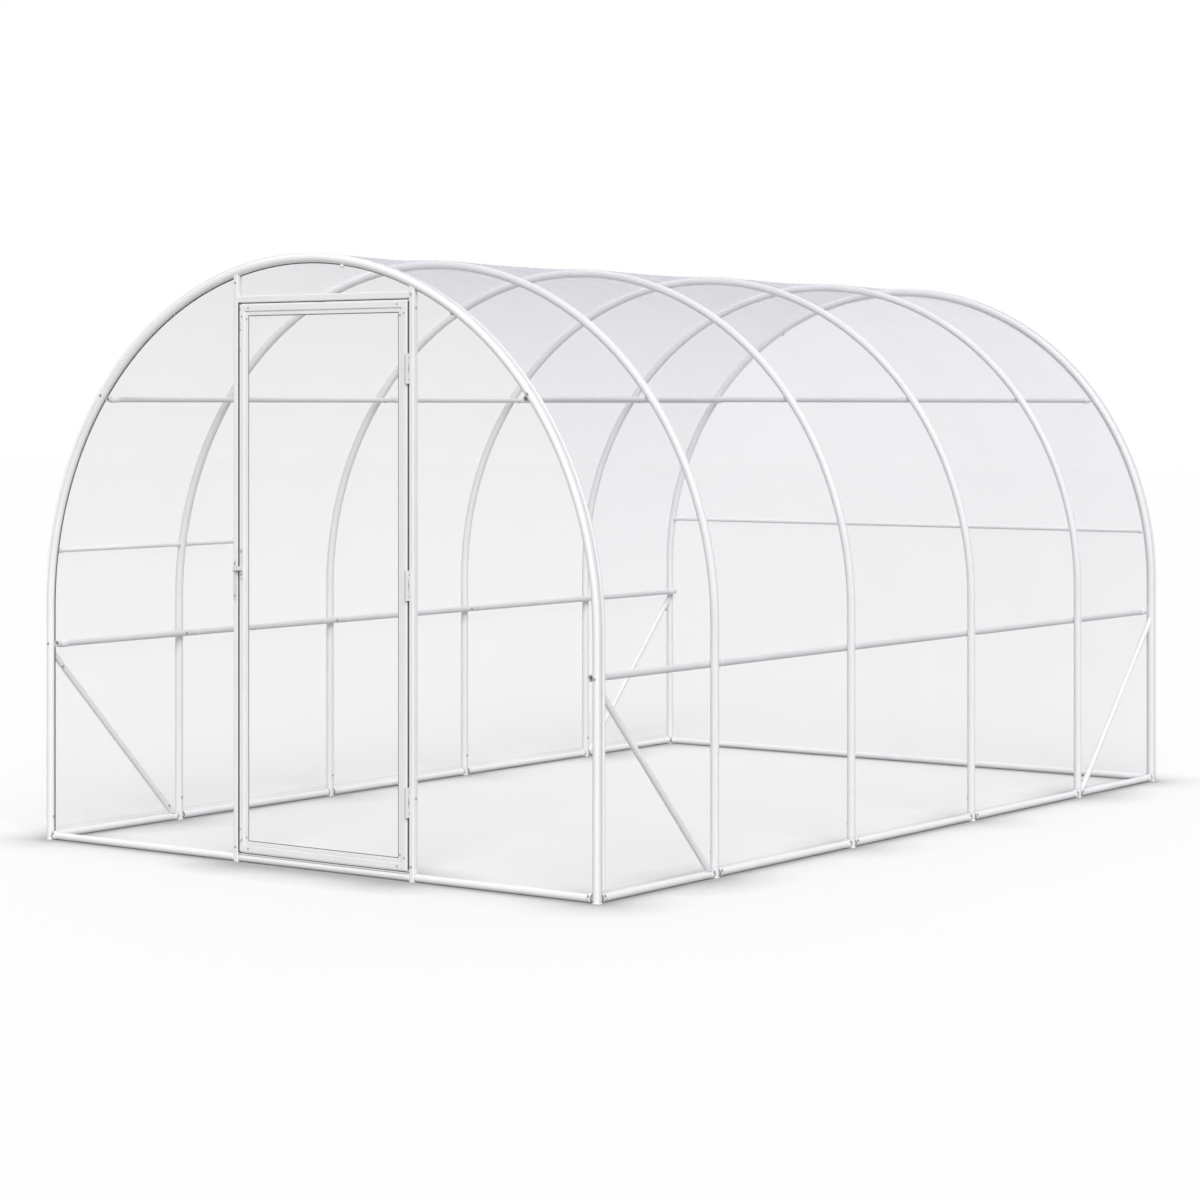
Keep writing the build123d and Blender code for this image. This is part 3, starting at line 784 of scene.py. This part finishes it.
def finish_sheet(piece, veil, material, body, stands_for):
    """Puts a sheet's own veil on its points and its finish on its faces, in place of the named solids."""
    layer = piece.data.attributes.new("veil", "FLOAT", "POINT")
    layer.data.foreach_set("value", np.ascontiguousarray(veil, np.float32).ravel())
    piece.data.materials.append(material)
    piece.visible_shadow = False
    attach(piece, body)
    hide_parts(*stands_for)


def end_panel(name, y, left, right, low):
    """A flat panel under the hoop: rows across, each column rising from the ground rail to the arch.

    Slow waves push it up to two millimetres out of flat and die away at its four edges.
    """
    across = np.linspace(0, 1, 81)
    across = 0.5 - 0.5 * np.cos(math.pi * across)
    up = np.linspace(0, 1, 91)
    a, b = np.meshgrid(across, up, indexing="ij")
    film_gap = 0.0003
    slack_depth = 0.0012
    reach = half_width - hoop_radius - film_gap
    x = left + (right - left) * a
    top = leg_height + np.sqrt(np.maximum(reach**2 - x**2, 0))
    z = low + (top - low) * b
    held = np.clip(16 * a * (1 - a) * b * (1 - b), 0, 1) ** 0.5
    slack = np.sin(5.1 * x + 0.9 * z + y) + 0.7 * np.sin(2.3 * x - 1.7 * z + 1.3)
    points = np.stack([x, y + slack_depth * held * slack, z], axis=-1)
    piece = surface(name, (points if y < 0 else points[::-1])[None])
    area = np.trapz(top[:, 0] - low, x=x[:, 0])
    return piece, area, float(top.max() - low)


end_film = clear_film("end_film", 0.085)
front_y, back_y = stations[0], stations[-1]
walls = [
    ("front_left_sheet", "front_film_left", front_y),
    ("front_right_sheet", "front_film_right", front_y),
    ("front_top_sheet", "front_film_top", front_y),
    ("back_sheet", "back_film", back_y),
]
for name, node, y in walls:
    low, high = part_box(node)
    piece, area, height = end_panel(name, y, low.x, high.x, low.z)
    finish_sheet(piece, np.zeros(len(piece.data.vertices)), end_film, "tunnel", [node])

# Door film: the same clear film, cut to the door and gripped all round behind its inner strip
# by the rubber spline.
door_low, door_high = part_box("door_film")
door_x, door_z = np.meshgrid(
    np.linspace(door_low.x, door_high.x, 31), np.linspace(door_low.z, door_high.z, 61), indexing="ij"
)
door_y = np.full_like(door_x, (door_low.y + door_high.y) / 2)
door_sheet = surface("door_sheet", np.stack([door_x, door_y, door_z], axis=-1)[None])
finish_sheet(door_sheet, np.zeros(door_x.size), end_film, "door", ["door_film"])

# Cover: one sheet of the same film pulled over all six hoops, from the ground on one side to the
# ground on the other, welded along its lower edges and hemmed at its ends. It draws in a little
# between the hoops, and it is made denser, and so darker, towards the crown of the roof.
cover_low, cover_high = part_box("cover_left_wall")
cover_gap = 0.0018
cover_radius = half_width + hoop_radius + cover_gap
wall_run = leg_height - cover_low.z
arc_run = math.pi * cover_radius
cover_girth = 2 * wall_run + arc_run


def cover_points(run, y, out):
    """The sheet at a run up from the left ground edge and a station along the tunnel.

    Two straight walls with a half round between them, moved out along the outward direction.
    """
    turn = np.clip((run - wall_run) / cover_radius, 0, math.pi)
    far_spring = wall_run + arc_run
    far_rise = np.where(run > far_spring, far_spring - run, 0)
    rise = np.where(run < wall_run, run - wall_run, far_rise)
    reach = cover_radius + out
    return np.stack([-reach * np.cos(turn), y, leg_height + rise + reach * np.sin(turn)], axis=-1)


weld_low, weld_high, weld_fade = 0.034, 0.039, 0.0012
weld_lines = np.array([weld_low - weld_fade, weld_low, weld_high, weld_high + weld_fade])
run_lines = np.linspace(0, cover_girth, 181)
run_lines = np.sort(np.concatenate([run_lines, weld_lines, cover_girth - weld_lines]))
hem_width, hem_fade = 0.024, 0.0012
hem_lines = np.array([cover_low.y + hem_width, cover_low.y + hem_width + hem_fade])
along_lines = np.linspace(cover_low.y, cover_high.y, 241)
along_lines = np.sort(np.concatenate([along_lines, hem_lines, cover_low.y + cover_high.y - hem_lines]))
run, along = np.meshgrid(run_lines, along_lines, indexing="ij")
bay = np.clip(np.searchsorted(stations, along) - 1, 0, 4)
share = np.clip((along - stations[bay]) / (stations[bay + 1] - stations[bay]), 0, 1)
edge_run = np.minimum(run, cover_girth - run)
free_height = 0.4
height_share = np.clip(edge_run / free_height, 0, 1)
draw = 4 * share * (1 - share) * height_share
waves = np.sin(7.3 * along + 1.1 * run) + 0.6 * np.sin(13.1 * along - 0.7 * run + 2.0)
draw_depth, wave_depth = 0.007, 0.0011
cover = surface("cover_sheet", cover_points(run, along, -draw_depth * draw + wave_depth * draw * waves)[None])
cover_film = clear_film("cover_film", 0.070)
weld_veil, hem_veil, roof_veil = 0.06, 0.07, 0.036
line_play = 1e-4
weld = weld_veil * ((edge_run > weld_low - line_play) & (edge_run < weld_high + line_play))
end_run = np.minimum(along - cover_low.y, cover_high.y - along)
end_hem = hem_veil * (end_run < hem_width + line_play)
# The roof is made denser, and so darker, towards its crown.
roof_veil_from, roof_veil_span = 0.12, 1.37
roof_share = np.clip((edge_run - roof_veil_from) / roof_veil_span, 0, 1)
roof_density = roof_veil * roof_share**2 * (3 - 2 * roof_share)
finish_sheet(
    cover,
    weld + end_hem + roof_density,
    cover_film,
    "tunnel",
    ["cover_left_wall", "cover_right_wall", "cover_left_haunch", "cover_right_haunch", "cover_crown"],
)
